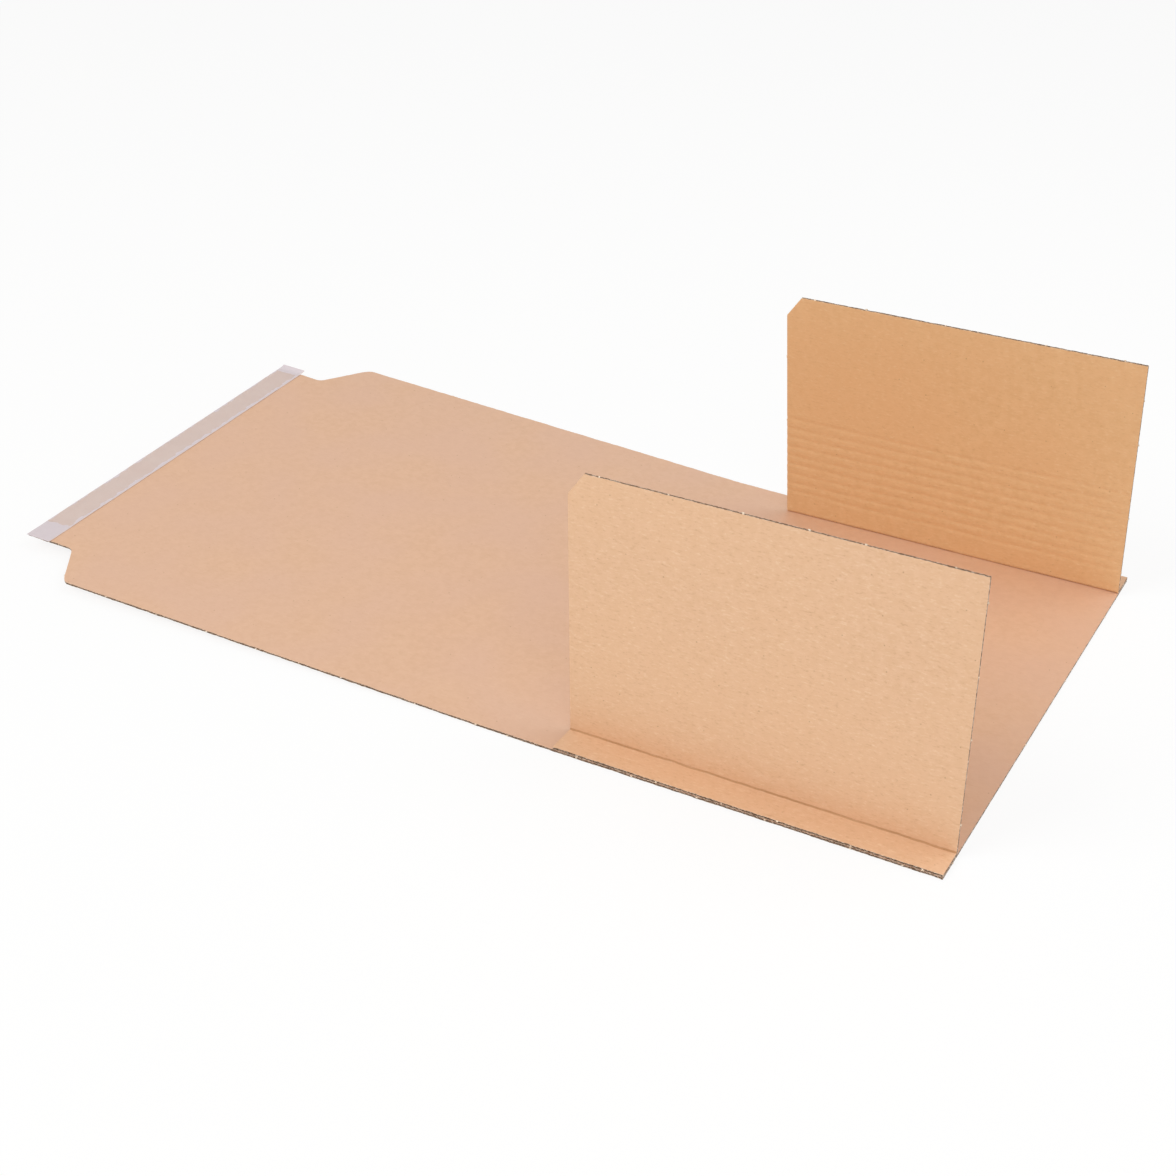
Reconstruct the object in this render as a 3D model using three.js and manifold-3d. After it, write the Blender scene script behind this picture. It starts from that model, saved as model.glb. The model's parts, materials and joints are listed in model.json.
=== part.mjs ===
import * as THREE from 'three';
import { mergeGeometries, mergeVertices } from 'three/addons/utils/BufferGeometryUtils.js';
import Module from 'manifold-3d';

// A wraparound book mailer of kraft corrugated board, lying open with its side flaps up.
// X runs along the wrap, from the closure tab at -X to the book bay at +X.
// Y runs across the wrap, along its flutes, and Z is up. The origin is the middle of the underside.
// All sizes are in millimetres.

// Corrugated board: two flat liners with a fluted medium between them
const boardThickness = 1.6;
const linerThickness = 0.3;
const mediumCrest = 0.2;
const mediumFoot = 0.2;
const flutePitch = 3.6;

// Wrap sheet, the long flat blank that rolls round the book
const bayLength = 230;
const tailLength = 364;
const creaseSpacing = 302;
const footWidth = 20;

// Closure tab, narrower than the sheet, at its far end
const shoulderRun = 22;
const shoulderStep = 33;
const tabLength = 39;

// Side flaps, each folded up from a foot that is glued on the sheet's margin
const flapHeight = 165;
const cornerRun = 10;
const cornerDrop = 14;
const foldGap = 0.3;
const frontFlapLean = 0;
const rearFlapLean = 7;

// Score lines across the inner face of a flap, which let it fold at the height of the book
const scoreCount = 9;
const firstScore = 16;
const scoreSpacing = 7.2;
const scoreWidth = 2.2;
const scoreDepth = 0.2;

// Self-adhesive strip on the tab and the release film over it
const stripWidth = 17;
const stripThickness = 0.15;
const stripEndMargin = 0.8;
const stripFrontInset = 19;
const stripRearInset = 4;
const filmWidth = 20;
const filmThickness = 0.12;
const filmFrontOverhang = 1.5;
const filmRearOverhang = 5;

const sheetLength = tailLength + bayLength;
const sheetWidth = creaseSpacing + 2 * footWidth;
const tabWidth = sheetWidth - 2 * shoulderStep;
const totalLength = tabLength + shoulderRun + sheetLength;
const tabEndX = -totalLength / 2;
const shoulderX = tabEndX + tabLength;
const sheetStartX = shoulderX + shoulderRun;
const sheetEndX = totalLength / 2;
const bayStartX = sheetEndX - bayLength;
const creaseY = creaseSpacing / 2;
const footTopZ = 2 * boardThickness;

const wasm = await Module();
wasm.setup();

function toSolid(geometry) {
  const bare = geometry.clone();
  bare.deleteAttribute('normal');
  bare.deleteAttribute('uv');
  const merged = mergeVertices(bare);
  return new wasm.Manifold(new wasm.Mesh({
    numProp: 3,
    vertProperties: new Float32Array(merged.attributes.position.array),
    triVerts: new Uint32Array(merged.index.array),
  }));
}

function toGeometry(solid) {
  const mesh = solid.getMesh();
  const geometry = new THREE.BufferGeometry();
  geometry.setAttribute('position', new THREE.BufferAttribute(mesh.vertProperties, 3));
  geometry.setIndex(new THREE.BufferAttribute(mesh.triVerts, 1));
  const faceted = geometry.toNonIndexed();
  faceted.computeVertexNormals();
  return faceted;
}

// A closed outline, always taken anticlockwise
function polygon(points) {
  const corners = points.map(([x, y]) => new THREE.Vector2(x, y));
  if (THREE.ShapeUtils.isClockWise(corners)) corners.reverse();
  return new THREE.Shape(corners);
}

function prism(shape, depth) {
  return new THREE.ExtrudeGeometry(shape, { depth, bevelEnabled: false });
}

// The channels of a board as bars along z, point up and point down in turn. Length is along x,
// thickness along side * y, and the first and last channel are centred on the board's ends.
function fluteChannels(length, run, side) {
  const count = Math.round(length / flutePitch);
  const pitch = length / count;
  const halfBase = pitch / 2 - mediumFoot;
  const low = linerThickness;
  const high = boardThickness - linerThickness;
  const bars = [];
  const addBar = (x, base, crest) => {
    const section = polygon([
      [x - halfBase, side * base], [x + halfBase, side * base], [x, side * crest],
    ]);
    bars.push(prism(section, run + 2 * flutePitch).translate(0, 0, -flutePitch));
  };
  for (let i = 0; i <= count; i += 1) {
    addBar(i * pitch, high, low + mediumCrest);
    if (i < count) addBar((i + 0.5) * pitch, low, high - mediumCrest);
  }
  return mergeGeometries(bars);
}

// A corrugated board, modelled with its flutes along z and then put in place
function boardSolid(length, run, side, place) {
  const slab = prism(polygon([
    [0, 0], [length, 0], [length, side * boardThickness], [0, side * boardThickness],
  ]), run);
  const channels = fluteChannels(length, run, side);
  return toSolid(slab.applyMatrix4(place)).subtract(toSolid(channels.applyMatrix4(place)));
}

// A board lying flat, flutes along Y, its near left lower corner at (x, y, z)
function lyingBoard(length, width, x, y, z) {
  const place = new THREE.Matrix4().makeRotationX(Math.PI / 2).setPosition(x, y + width, z);
  return boardSolid(length, width, 1, place);
}

// The plan outline of the wrap sheet with the sloping shoulders of its closure tab
function wrapOutline() {
  const half = sheetWidth / 2;
  const tabHalf = tabWidth / 2;
  return polygon([
    [tabEndX, -tabHalf], [shoulderX, -tabHalf], [sheetStartX, -half], [sheetEndX, -half],
    [sheetEndX, half], [sheetStartX, half], [shoulderX, tabHalf], [tabEndX, tabHalf],
  ]);
}

function wrapSheetGeometry() {
  const board = lyingBoard(totalLength, sheetWidth, tabEndX, -sheetWidth / 2, 0);
  const cutter = prism(wrapOutline(), 3 * boardThickness).translate(0, 0, -boardThickness);
  return toGeometry(board.intersect(toSolid(cutter)));
}

function footGeometry(side) {
  const nearY = side > 0 ? creaseY : -creaseY - footWidth;
  return toGeometry(lyingBoard(bayLength, footWidth, bayStartX, nearY, boardThickness));
}

// A flap standing on its crease, which is the local X axis. Its outer face is in the local XZ plane
// and its thickness runs towards inward * Y. One upper corner is cut off at a slant.
function flapGeometry(inward) {
  const aboveFold = new THREE.Matrix4().setPosition(0, 0, foldGap);
  let flap = boardSolid(bayLength, flapHeight - foldGap, inward, aboveFold);
  const corner = polygon([
    [-cornerRun, flapHeight + cornerDrop], [-cornerRun, flapHeight - 2 * cornerDrop],
    [cornerRun, flapHeight], [2 * cornerRun, flapHeight + cornerDrop],
  ]);
  const cornerCutter = prism(corner, 4 * boardThickness)
    .rotateX(Math.PI / 2)
    .translate(0, 2 * boardThickness, 0);
  flap = flap.subtract(toSolid(cornerCutter));
  const innerFace = inward * boardThickness;
  for (let i = 0; i < scoreCount; i += 1) {
    const z = firstScore + i * scoreSpacing;
    const bottom = innerFace - inward * scoreDepth;
    const outside = innerFace + inward * scoreDepth;
    const groove = polygon([
      [outside, z - scoreWidth], [bottom, z], [outside, z + scoreWidth],
    ]);
    flap = flap.subtract(toSolid(scorePrism(groove)));
  }
  return toGeometry(flap);
}

// A bar along X with the given (y, z) section, longer than the flap at both ends
function scorePrism(section) {
  const turn = new THREE.Matrix4().makeBasis(
    new THREE.Vector3(0, 1, 0),
    new THREE.Vector3(0, 0, 1),
    new THREE.Vector3(1, 0, 0),
  );
  return prism(section, bayLength + 2 * scoreWidth)
    .applyMatrix4(turn)
    .translate(-scoreWidth, 0, 0);
}

// A thin rectangular layer with its lower face at z
function layerGeometry(x0, x1, y0, y1, z, thickness) {
  return prism(polygon([[x0, y0], [x1, y0], [x1, y1], [x0, y1]]), thickness).translate(0, 0, z);
}

function stripGeometry() {
  const endX = tabEndX + stripEndMargin;
  return layerGeometry(
    endX, endX + stripWidth,
    -tabWidth / 2 + stripFrontInset, tabWidth / 2 - stripRearInset,
    boardThickness, stripThickness,
  );
}

function filmGeometry() {
  return layerGeometry(
    tabEndX, tabEndX + filmWidth,
    -tabWidth / 2 - filmFrontOverhang, tabWidth / 2 + filmRearOverhang,
    boardThickness + stripThickness, filmThickness,
  );
}

const innerKraft = new THREE.MeshStandardMaterial({ color: '#dcb18b', roughness: 0.8, metalness: 0 });
const outerKraft = new THREE.MeshStandardMaterial({ color: '#d8aa7d', roughness: 0.85, metalness: 0 });
const clearAdhesive = new THREE.MeshStandardMaterial({ color: '#cdb59f', roughness: 0.3, metalness: 0 });
const siliconeFilm = new THREE.MeshStandardMaterial({ color: '#ddd5da', roughness: 0.25, metalness: 0 });

const mailer = new THREE.Group();

function addPiece(name, geometry, material, parent = mailer) {
  const mesh = new THREE.Mesh(geometry, material);
  mesh.name = name;
  parent.add(mesh);
  return mesh;
}

// Stands a flap on its crease at side * creaseY and leans it inwards by lean degrees
function addFlap(name, side, lean) {
  const crease = new THREE.Group();
  crease.position.set(bayStartX, side * creaseY, footTopZ + foldGap);
  crease.rotation.x = side * THREE.MathUtils.degToRad(lean);
  addPiece(name, flapGeometry(-side), outerKraft, crease);
  mailer.add(crease);
}

addPiece('wrap_sheet', wrapSheetGeometry(), innerKraft);
addPiece('front_foot', footGeometry(-1), outerKraft);
addPiece('rear_foot', footGeometry(1), outerKraft);
addFlap('front_flap', -1, frontFlapLean);
addFlap('rear_flap', 1, rearFlapLean);
addPiece('adhesive_strip', stripGeometry(), clearAdhesive);
addPiece('release_film', filmGeometry(), siliconeFilm);

export default mailer;
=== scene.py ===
import json
import math

import bmesh
import bpy
import numpy as np
from mathutils import Matrix, Vector


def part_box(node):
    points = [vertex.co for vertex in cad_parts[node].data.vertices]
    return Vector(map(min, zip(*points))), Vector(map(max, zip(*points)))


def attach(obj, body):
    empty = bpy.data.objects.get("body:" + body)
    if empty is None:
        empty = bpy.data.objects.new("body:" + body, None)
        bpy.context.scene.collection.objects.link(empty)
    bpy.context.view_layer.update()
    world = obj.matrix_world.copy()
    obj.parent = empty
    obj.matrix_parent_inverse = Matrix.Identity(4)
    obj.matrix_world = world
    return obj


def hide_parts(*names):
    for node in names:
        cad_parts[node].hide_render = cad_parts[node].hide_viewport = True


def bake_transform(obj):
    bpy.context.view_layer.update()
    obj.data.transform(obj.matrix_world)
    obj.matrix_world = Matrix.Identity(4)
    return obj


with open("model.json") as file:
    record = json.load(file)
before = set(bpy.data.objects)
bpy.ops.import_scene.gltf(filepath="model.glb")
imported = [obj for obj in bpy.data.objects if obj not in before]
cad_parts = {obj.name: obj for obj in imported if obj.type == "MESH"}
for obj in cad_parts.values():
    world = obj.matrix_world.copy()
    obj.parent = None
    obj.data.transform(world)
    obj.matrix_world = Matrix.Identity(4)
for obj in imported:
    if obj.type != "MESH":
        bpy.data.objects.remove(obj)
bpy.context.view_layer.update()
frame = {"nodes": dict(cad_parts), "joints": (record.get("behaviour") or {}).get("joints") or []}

# A wraparound book mailer of kraft corrugated board, lying open with its side flaps up.
# X runs along the wrap from its closure tab, Y along the flutes, Z up, in metres.

mm = 0.001

print("sizes: read from the solids")

sheetLow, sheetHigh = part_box("wrap_sheet")
footLow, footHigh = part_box("front_foot")
stripLow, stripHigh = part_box("adhesive_strip")
filmLow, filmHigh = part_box("release_film")
joints = {joint["name"]: joint for joint in frame["joints"]}
thickness = footHigh.z - footLow.z          # of one board
halfWidth = sheetHigh.y
bayStart = footLow.x
bayLength = footHigh.x - footLow.x
creaseY = -footHigh.y
hingeHeight = joints["front_fold"]["pos_m"][2]
near = 0.1 * mm


def nodePoints(name):
    return np.array([vertex.co for vertex in frame["nodes"][name].data.vertices])


sheetPoints = nodePoints("wrap_sheet")
tabHalf = float(np.abs(sheetPoints[sheetPoints[:, 0] < sheetLow.x + near, 1]).max())
onSide = np.abs(sheetPoints[:, 1]) > halfWidth - near
shoulderEnd = float(sheetPoints[onSide, 0].min())
onTabSide = np.abs(np.abs(sheetPoints[:, 1]) - tabHalf) < near
shoulderStart = float(sheetPoints[onTabSide, 0].max())

# The long tail isn't quite flat: it springs up from the table towards the tab, more at the rear
tailValues = {"frontRise": 6.5 * mm, "rearRise": 21.6 * mm, "bendLength": 60 * mm}


def tailRise(x, y, values=tailValues):
    bend = values["bendLength"]
    run = bayStart - sheetLow.x
    past = np.clip(bayStart - x, 0, None)
    eased = np.where(past < bend, past * past / (2 * bend), past - bend / 2) / (run - bend / 2)
    across = (y + halfWidth) / (2 * halfWidth)
    return eased * (values["frontRise"] + (values["rearRise"] - values["frontRise"]) * across)


def hexColour(code):
    parts = [int(code[i:i + 2], 16) / 255 for i in (1, 3, 5)]
    return (*(p / 12.92 if p <= 0.04045 else ((p + 0.055) / 1.055) ** 2.4 for p in parts), 1.0)


def addNode(tree, kind, settings=None, inputs=None):
    node = tree.nodes.new("ShaderNode" + kind)
    for name, value in (settings or {}).items():
        setattr(node, name, value)
    for key, value in (inputs or {}).items():
        if isinstance(value, bpy.types.NodeSocket):
            tree.links.new(value, node.inputs[key])
        else:
            node.inputs[key].default_value = value
    return node


def newMaterial(name):
    material = bpy.data.materials.new(name)
    material.use_nodes = True
    material.node_tree.nodes.clear()
    return material, material.node_tree


def link(thing):
    bpy.context.scene.collection.objects.link(thing)
    return thing


inColour = {"data_type": "RGBA"}            # settings of a Mix node that mixes colours
plainWhite = hexColour("#FFFFFF")


print("camera and light")

cameraValues = {
    "azimuth": 0.515,           # radians, from +Y towards -X
    "elevation": 0.537,         # radians, above the table
    "roll": -0.005,
    "distance": 1.2174,         # from the aim point
    "aimRight": 0.0210,         # the aim point, from the origin along the picture's own axes
    "aimUp": -0.0089,
    "focalPixels": 1867.1,
    "pictureWidth": 1176,
    "sensor": 36.0,
}


def makeCamera(values):
    azimuth, elevation, roll = values["azimuth"], values["elevation"], values["roll"]
    look = Vector((-math.sin(azimuth), math.cos(azimuth), -math.tan(elevation))).normalized()
    level = look.cross(Vector((0, 0, 1))).normalized()
    upright = level.cross(look)
    right = level * math.cos(roll) + upright * math.sin(roll)
    up = upright * math.cos(roll) - level * math.sin(roll)
    place = right * values["aimRight"] + up * values["aimUp"] - look * values["distance"]
    data = bpy.data.cameras.new("camera")
    data.sensor_width = values["sensor"]
    data.lens = values["focalPixels"] / values["pictureWidth"] * values["sensor"]
    data.clip_end = 50
    camera = link(bpy.data.objects.new("camera", data))
    camera.matrix_world = Matrix.Translation(place) @ Matrix((right, up, -look)).transposed().to_4x4()
    bpy.context.scene.camera = camera


lightValues = {
    "worldStrength": 0.51,
    "softboxes": {              # place, aim, size in metres, watts, colour
        "overhead": ((0.9, 0.3, 1.4), (0.1, 0.0, 0.0), 1.0, 6, "#FFFFFF"),
        "frontLeft": ((-1.1, -1.7, 2.2), (0.0, 0.0, 0.0), 1.6, 33, "#FFFEF8"),
        "frontRight": ((1.5, -1.7, 1.5), (0.1, 0.0, 0.0), 1.4, 9, "#FFFEF8"),
    },
}


def makeLights(values):
    world = bpy.data.worlds.new("studio")
    bpy.context.scene.world = world
    world.use_nodes = True
    tree = world.node_tree
    tree.nodes.clear()
    paths = addNode(tree, "LightPath").outputs
    straight = addNode(tree, "Math", {"operation": "MAXIMUM"},
                       {0: paths["Is Camera Ray"], 1: paths["Is Transmission Ray"]})
    seen = addNode(tree, "Math", {"operation": "MAXIMUM"},
                   {0: straight.outputs[0], 1: paths["Is Glossy Ray"]})
    soft = addNode(tree, "Background", None, {"Strength": values["worldStrength"], "Color": plainWhite})
    white = addNode(tree, "Background", None, {"Strength": 1.0, "Color": plainWhite})
    mixed = addNode(tree, "MixShader", None,
                    {0: seen.outputs[0], 1: soft.outputs[0], 2: white.outputs[0]})
    addNode(tree, "OutputWorld", None, {"Surface": mixed.outputs[0]})
    for name, (place, aim, size, watts, colour) in values["softboxes"].items():
        data = bpy.data.lights.new(name, "AREA")
        data.size = size
        data.energy = watts
        data.color = hexColour(colour)[:3]
        softbox = link(bpy.data.objects.new(name, data))
        turn = (Vector(aim) - Vector(place)).to_track_quat("-Z", "Y").to_matrix().to_4x4()
        softbox.matrix_world = Matrix.Translation(place) @ turn


floorValues = {
    "size": 40.0,
    "colour": "#FAFAFA",
    "whiteShare": 0.86,         # how far the paper's own light hides the shadows on it
    "drop": 0.05 * mm,          # keeps it clear of the board's lower face
}


def makeFloor(values):
    # White sweep paper, matt: it stays white round the mailer and keeps a soft shadow under it
    material, tree = newMaterial("mattSweepPaper")
    paths = addNode(tree, "LightPath").outputs
    straight = addNode(tree, "Math", {"operation": "MAXIMUM"},
                       {0: paths["Is Camera Ray"], 1: paths["Is Transmission Ray"]})
    share = addNode(tree, "Math", {"operation": "MULTIPLY"},
                    {0: straight.outputs[0], 1: values["whiteShare"]})
    paper = addNode(tree, "BsdfDiffuse", None, {"Color": hexColour(values["colour"])})
    white = addNode(tree, "Emission", None, {"Color": plainWhite, "Strength": 1.0})
    mixed = addNode(tree, "MixShader", None,
                    {0: share.outputs[0], 1: paper.outputs[0], 2: white.outputs[0]})
    addNode(tree, "OutputMaterial", None, {"Surface": mixed.outputs[0]})
    half = values["size"] / 2
    corners = [(-half, -half, 0), (half, -half, 0), (half, half, 0), (-half, half, 0)]
    mesh = bpy.data.meshes.new("sweep")
    mesh.from_pydata(corners, [], [(0, 1, 2, 3)])
    mesh.materials.append(material)
    floor = link(bpy.data.objects.new("sweep", mesh))
    floor.location.z = -values["drop"]


makeCamera(cameraValues)
makeLights(lightValues)
makeFloor(floorValues)
bpy.context.scene.view_settings.view_transform = "Standard"

print("materials: kraft liners, fluting, cut edges")

# Real fibres are finer than a pixel, so they are drawn as coarse as they need to show.
# A range says where in its pattern a layer starts to show and where it shows fully.
linerValues = {
    "cloudSize": 5.0 * mm,      # the formation of the paper, seen as faint clouds
    "cloudRange": (0.38, 0.64),
    "cloudShare": 0.7,
    "driftSize": 60.0 * mm,
    "driftRange": (0.35, 0.65),
    "driftShare": 0.6,
    "fibreLength": 3.4 * mm,
    "fibreWidth": 1.3 * mm,
    "paleRange": (0.55, 0.74),
    "darkRange": (0.44, 0.26),
    "shiveSpacing": 6.5 * mm,   # between the dark flecks of bark
    "shiveSize": 0.55 * mm,
    "shiveShare": 0.6,
    "shiveRarity": 0.55,        # of the places for a fleck, this share stays empty
    "toothSize": 0.6 * mm,
    "toothStrength": 0.3,
    "toothHeight": 0.15 * mm,
    # The crease line is partly the pressed crease and partly painted shade in the fold
    "creaseWidth": 0.9 * mm,
    "creaseWander": 12.0 * mm,
    "creaseStray": 1.2 * mm,
    "creaseShadeShare": 0.75,
}


def kraftLiner(name, colours, fleck, roughness, withCreaseShade=False, values=linerValues):
    # Kraft linerboard, machine-finished: warm tan and faintly cloudy, with pale and dark fibres,
    # a few bark flecks, and a weak sheen at a low angle. Along the creases a browner line is painted,
    # partly the pressed crease and partly painted shade in the fold.
    material, tree = newMaterial(name)
    place = addNode(tree, "Attribute", {"attribute_name": "flatPlace"}).outputs["Vector"]
    cloud = addNode(tree, "TexNoise", None,
                    {"Vector": place, "Scale": 1 / values["cloudSize"], "Detail": 4.0})
    drift = addNode(tree, "TexNoise", None,
                    {"Vector": place, "Scale": 1 / values["driftSize"], "Detail": 1.0})
    stretch = [1 / values[key] for key in ("fibreLength", "fibreWidth", "fibreWidth")]
    fibrePlace = addNode(tree, "VectorMath", {"operation": "MULTIPLY"}, {0: place, 1: stretch})
    fibres = addNode(tree, "TexNoise", None,
                     {"Vector": fibrePlace.outputs[0], "Scale": 1.0, "Detail": 4.0, "Roughness": 0.7})
    tooth = addNode(tree, "TexNoise", None,
                    {"Vector": place, "Scale": 1 / values["toothSize"], "Detail": 3.0})
    shives = addNode(tree, "TexVoronoi", None, {"Vector": place, "Scale": 1 / values["shiveSpacing"]})
    reach = values["shiveSize"] / values["shiveSpacing"]
    picked = addNode(tree, "Math", {"operation": "GREATER_THAN"},
                     {0: shives.outputs["Color"], 1: values["shiveRarity"]})
    shape = addNode(tree, "MapRange", None, {0: shives.outputs["Distance"], 1: reach, 2: reach * 0.4,
                                             4: values["shiveShare"]})
    shiveShare = addNode(tree, "Math", {"operation": "MULTIPLY"},
                         {0: shape.outputs[0], 1: picked.outputs[0]})
    layers = [(colours[layer], addNode(tree, "MapRange", None, {
        0: pattern.outputs["Fac"], 1: values[edges][0], 2: values[edges][1], 4: share,
    })) for layer, pattern, edges, share in (
        ("cloud", cloud, "cloudRange", values["cloudShare"]),
        ("drift", drift, "driftRange", values["driftShare"]),
        ("paleFibre", fibres, "paleRange", fleck),
        ("darkFibre", fibres, "darkRange", fleck),
    )]
    layers.append((colours["shive"], shiveShare))
    if withCreaseShade:
        layers.append((colours["crease"], creaseShadeLine(tree, place, values)))
    mixed = hexColour(colours["body"])
    for code, share in layers:
        layer = addNode(tree, "Mix", inColour, {0: share.outputs[0], 6: mixed, 7: hexColour(code)})
        mixed = layer.outputs[2]
    height = addNode(tree, "Math", {"operation": "ADD"},
                     {0: tooth.outputs["Fac"], 1: fibres.outputs["Fac"]})
    bump = addNode(tree, "Bump", None, {"Height": height.outputs[0], "Strength": values["toothStrength"],
                                        "Distance": values["toothHeight"]})
    shader = addNode(tree, "BsdfPrincipled", None, {
        "Base Color": mixed, "Roughness": roughness, "IOR": 1.5,
        "Sheen Weight": 0.05, "Sheen Roughness": 0.4, "Normal": bump.outputs[0],
    })
    addNode(tree, "OutputMaterial", None, {"Surface": shader.outputs[0]})
    return material


def creaseShadeLine(tree, place, values):
    # How far the crease line shows: a thin browner line along both creases that strays a little,
    # partly the pressed crease and partly painted shade in the fold
    axes = addNode(tree, "SeparateXYZ", None, {0: place})
    wander = addNode(tree, "TexNoise", {"noise_dimensions": "1D"},
                     {"W": axes.outputs["X"], "Scale": 1 / values["creaseWander"], "Detail": 3.0})
    stray = values["creaseStray"]
    strayed = addNode(tree, "Math", {"operation": "MULTIPLY_ADD"},
                      {0: wander.outputs["Fac"], 1: stray, 2: -stray / 2})
    side = addNode(tree, "Math", {"operation": "ABSOLUTE"}, {0: axes.outputs["Y"]})
    moved = addNode(tree, "Math", {"operation": "ADD"}, {0: side.outputs[0], 1: strayed.outputs[0]})
    offset = addNode(tree, "Math", {"operation": "SUBTRACT"}, {0: moved.outputs[0], 1: creaseY})
    away = addNode(tree, "Math", {"operation": "ABSOLUTE"}, {0: offset.outputs[0]})
    width = values["creaseWidth"]
    return addNode(tree, "MapRange", None,
                   {0: away.outputs[0], 1: width, 2: width * 0.3, 4: values["creaseShadeShare"]})


cutValues = {
    "frayLength": 1.6 * mm,
    "frayDepth": 0.7 * mm,
    "darkBelow": 0.42,          # fully dark below this level of the pattern
    "paleAbove": 0.60,          # and fully pale above this one
    "bumpStrength": 0.6,
    "bumpHeight": 0.2 * mm,
}


def dieCutEdge(name, dark, pale, values=cutValues):
    # The die-cut edge of liners and fluting: crushed and torn fibres, matt, in short dark and
    # pale dashes where a flute or its crest was met by the blade. On the board's cut edge the dark
    # dashes are partly crushed fibre and partly painted shade of the open flutes.
    material, tree = newMaterial(name)
    place = addNode(tree, "Attribute", {"attribute_name": "flatPlace"}).outputs["Vector"]
    stretch = [1 / values[key] for key in ("frayLength", "frayLength", "frayDepth")]
    frayPlace = addNode(tree, "VectorMath", {"operation": "MULTIPLY"}, {0: place, 1: stretch})
    fray = addNode(tree, "TexNoise", None,
                   {"Vector": frayPlace.outputs[0], "Scale": 1.0, "Detail": 3.0, "Roughness": 0.7})
    share = addNode(tree, "MapRange", None,
                    {0: fray.outputs["Fac"], 1: values["darkBelow"], 2: values["paleAbove"]})
    colour = addNode(tree, "Mix", inColour, {0: share.outputs[0], 6: hexColour(dark), 7: hexColour(pale)})
    bump = addNode(tree, "Bump", None, {"Height": fray.outputs["Fac"], "Strength": values["bumpStrength"],
                                        "Distance": values["bumpHeight"]})
    shader = addNode(tree, "BsdfPrincipled", None,
                     {"Base Color": colour.outputs[2], "Roughness": 0.95, "Normal": bump.outputs[0]})
    addNode(tree, "OutputMaterial", None, {"Surface": shader.outputs[0]})
    return material


def flutingPaper(name, cloudSize=1.5 * mm):
    # Semi-chemical fluting paper, corrugated hot: duller and browner than the liners, rough
    material, tree = newMaterial(name)
    place = addNode(tree, "Attribute", {"attribute_name": "flatPlace"}).outputs["Vector"]
    cloud = addNode(tree, "TexNoise", None, {"Vector": place, "Scale": 1 / cloudSize, "Detail": 4.0})
    colour = addNode(tree, "Mix", inColour,
                     {0: cloud.outputs["Fac"], 6: hexColour("#8A694B"), 7: hexColour("#B59273")})
    shader = addNode(tree, "BsdfPrincipled", None, {"Base Color": colour.outputs[2], "Roughness": 0.9})
    addNode(tree, "OutputMaterial", None, {"Surface": shader.outputs[0]})
    return material


wrapColours = {"body": "#DFB596", "cloud": "#D9AE8E", "drift": "#DCB39A", "paleFibre": "#E9C6A9",
               "darkFibre": "#CB9C7A", "shive": "#A87E5C"}
# The crease colour is partly the pressed crease and partly painted shade in the fold
outerColours = {"body": "#E4BA97", "cloud": "#DEB38D", "drift": "#E4B994", "paleFibre": "#F1D0B0",
                "darkFibre": "#C99C76", "shive": "#A67C59", "crease": "#B98A5E"}
# The inner face's deeper orange is partly the liner's own tone and partly painted bounce light from the
# kraft around it
innerColoursBounceTinted = {"body": "#E6BA8A", "cloud": "#DFB180", "drift": "#E5B686", "paleFibre": "#F0CFA4",
                "darkFibre": "#CC9E70", "shive": "#A67A50"}

wrapLiner = kraftLiner("kraftLinerMachineFinished", wrapColours, 0.30, 0.55)
outerLiner = kraftLiner("kraftLinerOuterFace", outerColours, 0.70, 0.65, withCreaseShade=True)
innerLiner = kraftLiner("kraftLinerInnerFace", innerColoursBounceTinted, 0.55, 0.60)
fluting = flutingPaper("flutingPaperCorrugated")
# The dark of the board's cut edge is partly painted shade of the open flutes
cutEdge = dieCutEdge("kraftBoardDieCut", "#6A5245", "#E6D2C0")
tornFibre = dieCutEdge("kraftFibreTorn", "#D8BEA4", "#FFF0DC")

print("corrugated boards")

boardValues = {
    "liner": 0.26 * mm,
    "medium": 0.2 * mm,
    "pitch": 3.6 * mm,
    "pitchDrift": 0.06,         # of a pitch, how far the fluting strays along the board
    "columnsPerPitch": 4,
    "waveColumnsPerPitch": 12,
    "fray": 0.22 * mm,          # how unevenly the blade cut across the flutes
    "crush": 0.28 * mm,         # how far it pressed the liners together there
    "crushReach": 1.2 * mm,
    "tearDepth": 0.9 * mm,      # how far the medium is torn back where the cut runs along a flute
    "tearLeast": 0.1 * mm,
    "tearLength": 5 * mm,
    "tearDetail": 1.7 * mm,
    "tearStep": 1.2 * mm,
    "nickSpacing": 38 * mm,     # between the bridges that held the blank in its die
    "nickSize": 1.3 * mm,
}


def smoothNoise(values, wavelength, seed):
    # One-dimensional noise from -1 to 1, with bumps about a wavelength apart
    values = np.asarray(values, float)
    start = min(values.min(), 0) - wavelength
    count = int((values.max() - start) / wavelength) + 4
    heights = np.random.default_rng(seed).uniform(-1, 1, count)
    spot = (values - start) / wavelength
    index = spot.astype(int)
    part = spot - index
    ease = part * part * (3 - 2 * part)
    return heights[index] * (1 - ease) + heights[index + 1] * ease


def stack(x, y, z):
    return np.stack(np.broadcast_arrays(x, y, z), axis=-1)


def spread(length, step, breaks=()):
    even = np.linspace(0, length, max(2, round(length / step)) + 1)
    return np.unique(np.concatenate([even, np.array(breaks, float)]))


# The place of each finish in a board's list of materials
lowerFace, upperFace, mediumFace, cutFace, tornFace = range(5)


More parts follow.
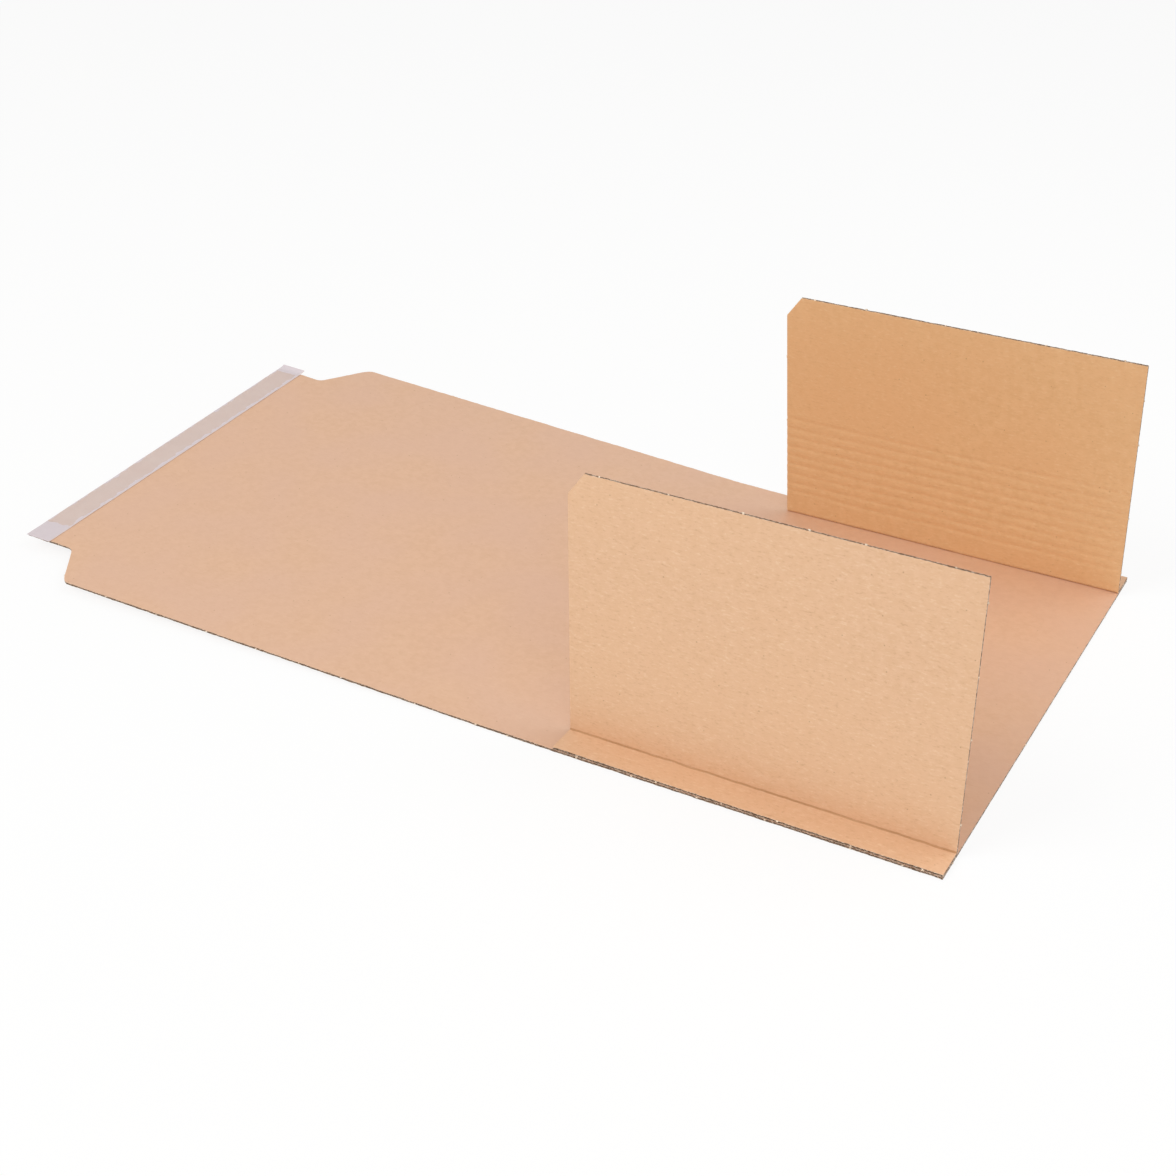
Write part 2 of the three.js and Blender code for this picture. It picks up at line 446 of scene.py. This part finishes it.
class Shells:
    # The closed shells of one piece, each point with its place on the flat, unfolded board
    def __init__(self):
        self.points, self.flat, self.faces, self.finishes = [], [], [], []

    def addGrid(self, points, flat, finish):
        start = sum(len(p) for p in self.points)
        rows, columns = points.shape[:2]
        index = np.arange(rows * columns).reshape(rows, columns) + start
        faces = np.stack([index[:-1, :-1], index[:-1, 1:], index[1:, 1:], index[1:, :-1]], axis=-1)
        self.points.append(points.reshape(-1, 3))
        self.flat.append(flat.reshape(-1, 3))
        self.faces.append(faces.reshape(-1, 4))
        self.finishes.append(np.full(faces.size // 4, finish))

    def addSlab(self, upper, lower, finishes):
        # A thin closed sheet between two grids of (points, flat places)
        first = len(self.faces)
        self.addGrid(*upper, finishes[0])
        self.addGrid(lower[0][::-1], lower[1][::-1], finishes[1])
        for cut, order in ((np.s_[0, :], -1), (np.s_[-1, :], 1), (np.s_[:, 0], 1), (np.s_[:, -1], -1)):
            pair = [np.stack([upper[i][cut], lower[i][cut]][::order]) for i in (0, 1)]
            self.addGrid(*pair, finishes[2])
        points = np.concatenate(self.points)
        corners = [points[np.concatenate(self.faces[first:])[:, i]] for i in range(4)]
        halves = np.cross(corners[1] - corners[0], corners[2] - corners[0])
        halves += np.cross(corners[2] - corners[0], corners[3] - corners[0])
        middle = corners[0].mean(axis=0)
        if ((corners[0] - middle) * halves).sum() < 0:
            self.faces[first:] = [faces[:, ::-1] for faces in self.faces[first:]]

    def build(self, name, materials, sharpAngle=38):
        mesh = bpy.data.meshes.new(name)
        mesh.from_pydata(np.concatenate(self.points).tolist(), [], np.concatenate(self.faces).tolist())
        mesh.polygons.foreach_set("material_index", np.concatenate(self.finishes).astype(np.int32))
        place = mesh.attributes.new("flatPlace", "FLOAT_VECTOR", "POINT")
        place.data.foreach_set("vector", np.concatenate(self.flat).astype(np.float32).ravel())
        work = bmesh.new()
        work.from_mesh(mesh)
        bmesh.ops.remove_doubles(work, verts=work.verts, dist=1e-7)
        work.to_mesh(mesh)
        work.free()
        for material in materials:
            mesh.materials.append(material)
        mesh.shade_smooth()
        mesh.set_sharp_from_angle(angle=math.radians(sharpAngle))
        return link(bpy.data.objects.new(name, mesh))


def placedGrid(board, rows):
    # A grid of points from rows of (s, v, w), with the same grid on the flat board
    return (np.stack([board["place"](*row) for row in rows]),
            np.stack([board["flatPlace"](*row) for row in rows]))


def addLiners(shells, board, values):
    # Both liners. s runs across the flutes, v along them and w through the board.
    length, reach = board["length"], values["crushReach"]
    pitch = length / round(length / values["pitch"])
    s = spread(length, pitch / values["columnsPerPitch"], board["breaks"])
    low, high = board["low"](s), board["high"](s)
    lines = [(low, d, 1) for d in ((0, reach / 3, reach) if board["openLow"] else (0,))]
    lines += [(low, d, 1) for d in board["rows"]]
    lines += [(high, d, -1) for d in (reach, reach / 3, 0)]
    for isUpper in (False, True):
        seed = board["seed"] + 10 * isUpper
        fray = np.abs(smoothNoise(s, pitch * 0.45, seed + 1)) * values["fray"]
        crush = (0.5 + 0.5 * smoothNoise(s, pitch * 1.3, seed + 2)) * values["crush"]
        grids = []
        for inside in (0, values["liner"]):
            rows = []
            for edge, distance, way in lines:
                cut = max(0, 1 - distance / reach) * (board["openLow"] or way < 0)
                v = edge + way * (distance + fray * cut)
                w = inside + crush * cut * cut
                if isUpper:
                    w = thickness - w - board["press"](s, v)
                rows.append((s, v, w))
            grids.append(placedGrid(board, rows))
        shells.addSlab(*grids, (upperFace if isUpper else lowerFace, mediumFace, cutFace))


def addMedium(shells, board, values):
    # The fluted sheet between the liners, a little uneven as real fluting is
    length = board["length"]
    pitch = length / round(length / values["pitch"])
    s = spread(length, pitch / values["waveColumnsPerPitch"], board["breaks"])
    half = values["medium"] / 2
    height = thickness / 2 - values["liner"] - half
    drift = values["pitchDrift"] * smoothNoise(s, pitch * 3, board["seed"] + 5)
    turn = 2 * math.pi * (s / pitch + drift) + board["phase"]
    slope = -height * np.sin(turn) * 2 * math.pi / pitch
    scale = half / np.sqrt(1 + slope * slope)
    lowFray, highFray = [np.abs(smoothNoise(s, pitch * 0.3, board["seed"] + i)) * values["fray"] * 2
                         for i in (6, 7)]
    low = board["low"](s) + lowFray
    high = board["high"](s) - highFray
    grids = []
    lines = [(low, 0), *((low + v, pressed) for v, pressed in board["mediumRows"]), (high, 0)]
    for way in (1, -1):
        across = np.clip(s - way * slope * scale, 0, length)
        w = thickness / 2 + height * np.cos(turn) + way * scale
        top = thickness - values["liner"] - (0 if way > 0 else values["medium"])
        rows = [(across, v, np.minimum(w, top - pressed)) for v, pressed in lines]
        grids.append(placedGrid(board, rows))
    shells.addSlab(*grids, (mediumFace, mediumFace, cutFace))


def addTornEnds(shells, board, values):
    # Where the blade ran along a flute, a torn strip of medium closes the board
    for end, way in ((0.0, 1), (board["length"], -1)):
        low, high = float(board["low"](end)), float(board["high"](end))
        v = low + values["fray"] + spread(high - low - 2 * values["fray"], values["tearStep"])
        seed = board["seed"] + 30 + way
        tears = smoothNoise(v, values["tearLength"], seed)
        tears = tears + 0.4 * smoothNoise(v, values["tearDetail"], seed + 2)
        torn = np.clip(tears, 0, 1) ** 2
        inner, outer = [], []
        for share in np.linspace(0, 1, 5):
            hollow = 4 * share * (1 - share)
            depth = (values["tearLeast"] + torn * values["tearDepth"]) * hollow
            w = values["liner"] * 0.6 + share * (thickness - values["liner"] * 1.2)
            w = w * (1 - board["press"](np.full_like(v, end), v) / thickness)
            for rows, back in ((outer, 0), (inner, values["medium"])):
                rows.append((end + way * (depth + back), v, w))
        shells.addSlab(placedGrid(board, outer), placedGrid(board, inner), (cutFace, cutFace, cutFace))


def addNicks(shells, board, values):
    # Pale tufts of fibre, left where small bridges held the blank in the sheet that it was cut from
    random = np.random.default_rng(board["seed"] + 50)
    spots = []
    for edge in (board["low"], board["high"]) if board["openLow"] else (board["high"],):
        count = int(board["length"] / values["nickSpacing"])
        for i in range(count):
            s = (i + random.uniform(0.25, 0.75)) * board["length"] / count
            spots.append((s, float(edge(s))))
    for end in (0.0, board["length"]):
        low, high = float(board["low"](end)), float(board["high"](end))
        count = int((high - low) / values["nickSpacing"])
        for i in range(count):
            v = low + (i + random.uniform(0.25, 0.75)) * (high - low) / count
            spots.append((end, v))
    across, along = np.meshgrid(np.linspace(-1, 1, 5), np.linspace(-1, 1, 5), indexing="ij")
    dome = (1 - across ** 2) * (1 - along ** 2)
    for s, v in spots:
        reach = values["nickSize"] * random.uniform(0.3, 0.6)
        w = thickness * random.uniform(0.35, 0.8)
        ragged = 1 + random.uniform(-0.25, 0.25, across.shape)
        grids = []
        for way in (1, -1):
            spot = (s + reach * across * ragged, v + reach * along * ragged,
                    w + way * reach * (0.05 + 0.6 * dome))
            grids.append((board["place"](*spot), board["flatPlace"](*spot)))
        shells.addSlab(*grids, (tornFace, tornFace, tornFace))


def makeBoard(name, board, faces, values=boardValues):
    shells = Shells()
    addLiners(shells, board, values)
    addMedium(shells, board, values)
    addTornEnds(shells, board, values)
    addNicks(shells, board, values)
    return shells.build(name, [*faces, fluting, cutEdge, tornFibre])


def notPressed(s, v):
    return np.zeros_like(v)


sheetValues = {"rowSpacing": 22 * mm, "cornerRound": 3 * mm, "phase": 0.4, "seed": 300}


def makeSheet(values):
    length = sheetHigh.x - sheetLow.x
    shoulders = (shoulderStart - sheetLow.x, shoulderEnd - sheetLow.x)
    spacing = values["rowSpacing"]

    def half(s):
        # Averaged over a few millimetres, so that the corners of the shoulders are a little round
        spots = [np.asarray(s, float) + values["cornerRound"] * k for k in (-1, -0.5, 0, 0.5, 1)]
        return sum(np.interp(spot, shoulders, (tabHalf, halfWidth)) for spot in spots) / len(spots)

    board = {
        "length": length, "low": lambda s: -half(s), "high": half, "openLow": True,
        "rows": np.arange(spacing, 2 * tabHalf - spacing / 2, spacing),
        "breaks": (*shoulders, bayStart - sheetLow.x), "press": notPressed,
        "place": lambda s, v, w: stack(sheetLow.x + s, v, w + tailRise(sheetLow.x + s, v)),
        "flatPlace": lambda s, v, w: stack(sheetLow.x + s, v, w),
        "mediumRows": ((tabHalf, 0),), "phase": values["phase"], "seed": values["seed"],
    }
    sheet = makeBoard("wrap_board", board, [wrapLiner, wrapLiner])
    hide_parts("wrap_sheet")
    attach(sheet, "wrap")


makeSheet(sheetValues)

print("side pieces: foot, crease and flap")

sideValues = {
    "creaseRadius": 0.3 * mm,
    "creaseSteps": 8,
    "creaseStep": 0.9 * mm,
    "creaseWander": 0.15 * mm,      # how far the pressed crease strays from a straight line
    "firstScore": 16 * mm,
    "scoreSpacing": 7.2 * mm,
    "scoreCount": 9,
    "scoreHalfWidth": 2.1 * mm,
    "scoreDepth": 0.42 * mm,
    "scoreStray": 0.5 * mm,
    "patchLength": 9 * mm,          # over which a score is pressed harder or softer
    "firstRow": 0.8 * mm,
    "lowRows": (4 * mm, 8 * mm),    # of points on a flap, below its scores
    "scoredRowsFrom": 12 * mm,
    "highRowSpacing": 14 * mm,
    "rowSpacing": 1.1 * mm,
    "phase": 1.1,
    "flatHeight": 0.5,              # keeps the paper's pattern apart from that of the wrap sheet
}


def flapShape(node, joint, side):
    # A flap's height, the cut of its slanted corner and its lean, read from its solid
    points = nodePoints(node)
    pivot = np.array(joints[joint]["pos_m"])
    straight = points[:, 0] > bayStart + bayLength / 2
    edge = points[straight & (points[:, 2] > points[:, 2].max() - thickness)]
    outerTop = edge[np.argmax(edge[:, 1] * side)]
    lean = math.atan2((pivot[1] - outerTop[1]) * side, outerTop[2] - pivot[2])
    height = math.hypot(outerTop[1] - pivot[1], outerTop[2] - pivot[2])
    up = (points[:, 2] - pivot[2]) * math.cos(lean) - (points[:, 1] - pivot[1]) * side * math.sin(lean)
    cornerRun = float(points[up > height - near, 0].min()) - bayStart
    cornerDrop = height - float(up[points[:, 0] < bayStart + near].max())
    return height, cornerRun, cornerDrop, lean


def makeSide(name, side, values, seed):
    joint, node, footNode, body = name + "_fold", name + "_flap", name + "_foot", name + "_side"
    height, cornerRun, cornerDrop, lean = flapShape(node, joint, side)
    bendLine = side * (creaseY + values["creaseRadius"])
    footDepth = halfWidth - abs(bendLine)
    flatHeight = values["flatHeight"]
    footBase = footHigh.z - thickness

    footBoard = {
        "length": bayLength, "openLow": False,
        "low": lambda s: 0.0 * s,
        "high": lambda s: 0.0 * s + footDepth,
        "rows": (values["firstRow"], footDepth * 0.5), "breaks": (), "press": notPressed,
        "place": lambda s, v, w: stack(bayStart + s, bendLine + side * v, footBase + w),
        "flatPlace": lambda s, v, w: stack(bayStart + s, bendLine + side * v, flatHeight + thickness - w),
        "mediumRows": (), "phase": values["phase"], "seed": seed,
    }
    foot = makeBoard(name + "_foot_board", footBoard, [innerLiner, outerLiner])
    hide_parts(footNode)
    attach(foot, "wrap")

    def press(s, v):
        # The score lines, pressed across the flutes, so they dip more where no flute bears the liner
        depth = 0.0 * v
        for i in range(values["scoreCount"]):
            stray = values["scoreStray"] * smoothNoise(s, 26 * mm, seed + 60 + i)
            line = values["firstScore"] + i * values["scoreSpacing"] + stray
            close = np.clip(1 - np.abs(v - line) / values["scoreHalfWidth"], 0, 1)
            depth = depth + close * close * (3 - 2 * close)
        uneven = 0.75 + 0.3 * smoothNoise(s, values["patchLength"], seed + 80)
        uneven = uneven + 0.15 * np.cos(2 * math.pi * s / boardValues["pitch"])
        return depth * uneven * values["scoreDepth"]

    def flapPlace(s, v, w):
        y = -side * (w * math.cos(lean) + v * math.sin(lean))
        z = v * math.cos(lean) - w * math.sin(lean)
        return stack(bayStart + s, side * creaseY + y, hingeHeight + z)

    scoredTop = values["firstScore"] + values["scoreCount"] * values["scoreSpacing"]
    scoredLow = values["firstScore"] - 2 * values["scoreHalfWidth"]
    scoredHigh = scoredTop - values["scoreSpacing"] + 2 * values["scoreHalfWidth"]
    crushed = 1.25 * values["scoreDepth"]
    scoredRows = np.arange(values["scoredRowsFrom"], scoredTop, values["rowSpacing"])
    margin = values["lowRows"][1]
    highRows = np.arange(scoredTop + margin, height - cornerDrop - margin, values["highRowSpacing"])
    flapBoard = {
        "length": bayLength, "openLow": False,
        "low": lambda s: 0.0 * s,
        "high": lambda s: height - cornerDrop * np.clip(1 - s / cornerRun, 0, 1),
        "rows": np.concatenate([[values["firstRow"], *values["lowRows"]], scoredRows, highRows]),
        "breaks": (cornerRun,), "press": press, "place": flapPlace,
        "flatPlace": lambda s, v, w: stack(bayStart + s, side * (creaseY - v), flatHeight + w),
        "mediumRows": ((scoredLow - 1.5 * mm, 0), (scoredLow, crushed), (scoredHigh, crushed),
                       (scoredHigh + 1.5 * mm, 0)),
        "phase": values["phase"], "seed": seed + 100,
    }
    flap = makeBoard(name + "_flap_board", flapBoard, [outerLiner, innerLiner])
    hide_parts(node)
    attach(flap, body)

    s = spread(bayLength, values["creaseStep"])
    concave, convex = [], []
    for share in np.linspace(0, 1, values["creaseSteps"] + 1):
        angle = share * (math.pi / 2 - lean)
        wave = values["creaseWander"] * smoothNoise(s, 14 * mm, seed + 5) * math.sin(share * math.pi)
        flatY = side * (creaseY + (0.5 - share) * 2 * values["creaseRadius"])
        innerRadius = values["creaseRadius"] + wave
        outerRadius = values["creaseRadius"] + thickness + wave * 0.5
        for rows, radius, level in ((concave, innerRadius, 0), (convex, outerRadius, thickness)):
            y = bendLine - side * radius * np.sin(angle)
            rows.append((stack(bayStart + s, y, hingeHeight - radius * np.cos(angle)),
                         stack(bayStart + s, flatY, flatHeight + level)))
    shells = Shells()
    grids = [tuple(np.stack(part) for part in zip(*rows)) for rows in (concave, convex)]
    shells.addSlab(grids[0], grids[1], (0, 1, 2))
    crease = shells.build(name + "_crease", [outerLiner, innerLiner, cutEdge], sharpAngle=60)
    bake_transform(crease)


makeSide("front", -1, sideValues, 500)
makeSide("rear", 1, sideValues, 900)

print("closure: adhesive strip and release film")

closureValues = {
    "adhesiveThickness": 0.12 * mm,
    "adhesiveWander": 0.4 * mm,     # how far the edges of the rolled-on band stray
    "filmClear": 0.14 * mm,         # height of the film above the board
    "filmThickness": 0.08 * mm,
    "filmWander": 0.1 * mm,
    "filmRipple": 0.15 * mm,
    "filmCurl": 0.8 * mm,           # of the free end past the board's edge
    "wetWander": 8 * mm,            # how far the border of the wetted film strays
    "wetPatch": 8 * mm,             # and over what length
    "wetBlur": 0.3 * mm,
    "wetCover": 0.62,               # how much of the board the film hides, from 0 to 1
    "dryCover": 0.78,
    "milkSize": 14 * mm,
    "brightEdge": 0.9 * mm,         # the edge of the film catches light and looks paler
    "brightShare": 0.8,
    "step": 1.5 * mm,
}


def siliconisedFilm(name, values=closureValues):
    # Polyethylene film, blown and siliconised: milky lilac and half clear, with a soft gloss.
    # Where the adhesive wets it, it turns clearer and the brown of the board shows through.
    material, tree = newMaterial(name)
    place = addNode(tree, "Attribute", {"attribute_name": "flatPlace"}).outputs["Vector"]
    axes = addNode(tree, "SeparateXYZ", None, {0: place}).outputs
    noise = addNode(tree, "TexNoise", None,
                    {"Vector": place, "Scale": 1 / values["wetPatch"], "Detail": 4.0})
    stray = addNode(tree, "Math", {"operation": "MULTIPLY_ADD"},
                    {0: noise.outputs["Fac"], 1: values["wetWander"], 2: -values["wetWander"] / 2})
    blur = values["wetBlur"]
    wet = None
    for axis, low, high in (("X", stripLow.x, stripHigh.x - 0.5 * mm), ("Y", stripLow.y, stripHigh.y)):
        moved = addNode(tree, "Math", {"operation": "ADD"}, {0: axes[axis], 1: stray.outputs[0]})
        for outside, inside in ((low - blur, low + blur), (high + blur, high - blur)):
            side = addNode(tree, "MapRange", None, {0: moved.outputs[0], 1: outside, 2: inside})
            if wet is None:
                wet = side.outputs[0]
            else:
                both = addNode(tree, "Math", {"operation": "MULTIPLY"}, {0: wet, 1: side.outputs[0]})
                wet = both.outputs[0]
    milk = addNode(tree, "TexNoise", None,
                   {"Vector": place, "Scale": 1 / values["milkSize"], "Detail": 2.0})
    wetColour = addNode(tree, "Mix", inColour,
                        {0: milk.outputs["Fac"], 6: hexColour("#E8D2CA"), 7: hexColour("#F0DFD8")})
    colour = addNode(tree, "Mix", inColour, {0: wet, 6: hexColour("#E6DADF"), 7: wetColour.outputs[2]})
    rim = addNode(tree, "MapRange", None, {
        0: axes["X"], 1: filmHigh.x - values["brightEdge"], 2: filmHigh.x - blur, 4: values["brightShare"],
    })
    rimmed = addNode(tree, "Mix", inColour,
                     {0: rim.outputs[0], 6: colour.outputs[2], 7: hexColour("#F4E2DA")})
    cover = addNode(tree, "MapRange", None, {0: wet, 3: values["dryCover"], 4: values["wetCover"]})
    shader = addNode(tree, "BsdfPrincipled", None, {
        "Base Color": rimmed.outputs[2], "Roughness": 0.3, "IOR": 1.5, "Alpha": cover.outputs[0],
    })
    addNode(tree, "OutputMaterial", None, {"Surface": shader.outputs[0]})
    return material


def hotMeltAdhesive(name):
    # Hot-melt adhesive, rolled on: clear amber over the kraft, wet-looking
    material, tree = newMaterial(name)
    place = addNode(tree, "Attribute", {"attribute_name": "flatPlace"}).outputs["Vector"]
    noise = addNode(tree, "TexNoise", None, {"Vector": place, "Scale": 1 / (3 * mm), "Detail": 2.0})
    colour = addNode(tree, "Mix", inColour,
                     {0: noise.outputs["Fac"], 6: hexColour("#DDB596"), 7: hexColour("#E6C3A8")})
    shader = addNode(tree, "BsdfPrincipled", None,
                     {"Base Color": colour.outputs[2], "Roughness": 0.2, "IOR": 1.48})
    addNode(tree, "OutputMaterial", None, {"Surface": shader.outputs[0]})
    return material


def makeLayer(name, node, material, low, high, shape, seed, values=closureValues):
    # A thin layer along the end of the tab: shape is its base, thickness, wander, ripple and curl
    base, depth, wander, ripple, curl = shape
    v = spread(high.y - low.y, values["step"])
    y = low.y + v
    past = np.clip(np.abs(y) - tabHalf, 0, None) / (filmHigh.y - tabHalf)
    firstEdge = np.abs(smoothNoise(v, 11 * mm, seed))
    lastEdge = np.abs(smoothNoise(v, 11 * mm, seed + 1))
    grids = []
    for level in (depth, 0.0):
        points, flat = [], []
        for share in np.linspace(0, 1, 9):
            edge = (share == 0) * firstEdge - (share == 1) * lastEdge
            x = low.x + share * (high.x - low.x) + wander * edge
            wave = ripple * (0.5 + 0.5 * smoothNoise(v, 16 * mm, seed + 2 + round(share * 2)))
            points.append(stack(x, y, base + level + wave + curl * past * past + tailRise(x, y)))
            flat.append(stack(x, y, level))
        grids.append((np.stack(points), np.stack(flat)))
    shells = Shells()
    shells.addSlab(grids[0], grids[1], (0, 0, 0))
    layer = shells.build(name, [material])
    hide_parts(node)
    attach(layer, "wrap")


def makeClosure(values):
    adhesive = (thickness, values["adhesiveThickness"], values["adhesiveWander"], 0.0, 0.0)
    makeLayer("adhesive_band", "adhesive_strip",
              hotMeltAdhesive("hotMeltAdhesiveRolled"), stripLow, stripHigh, adhesive, 31)
    film = (thickness + values["filmClear"], values["filmThickness"], values["filmWander"],
            values["filmRipple"], values["filmCurl"])
    makeLayer("release_film_sheet", "release_film",
              siliconisedFilm("polyethyleneFilmSiliconised"), filmLow, filmHigh, film, 37)


makeClosure(closureValues)
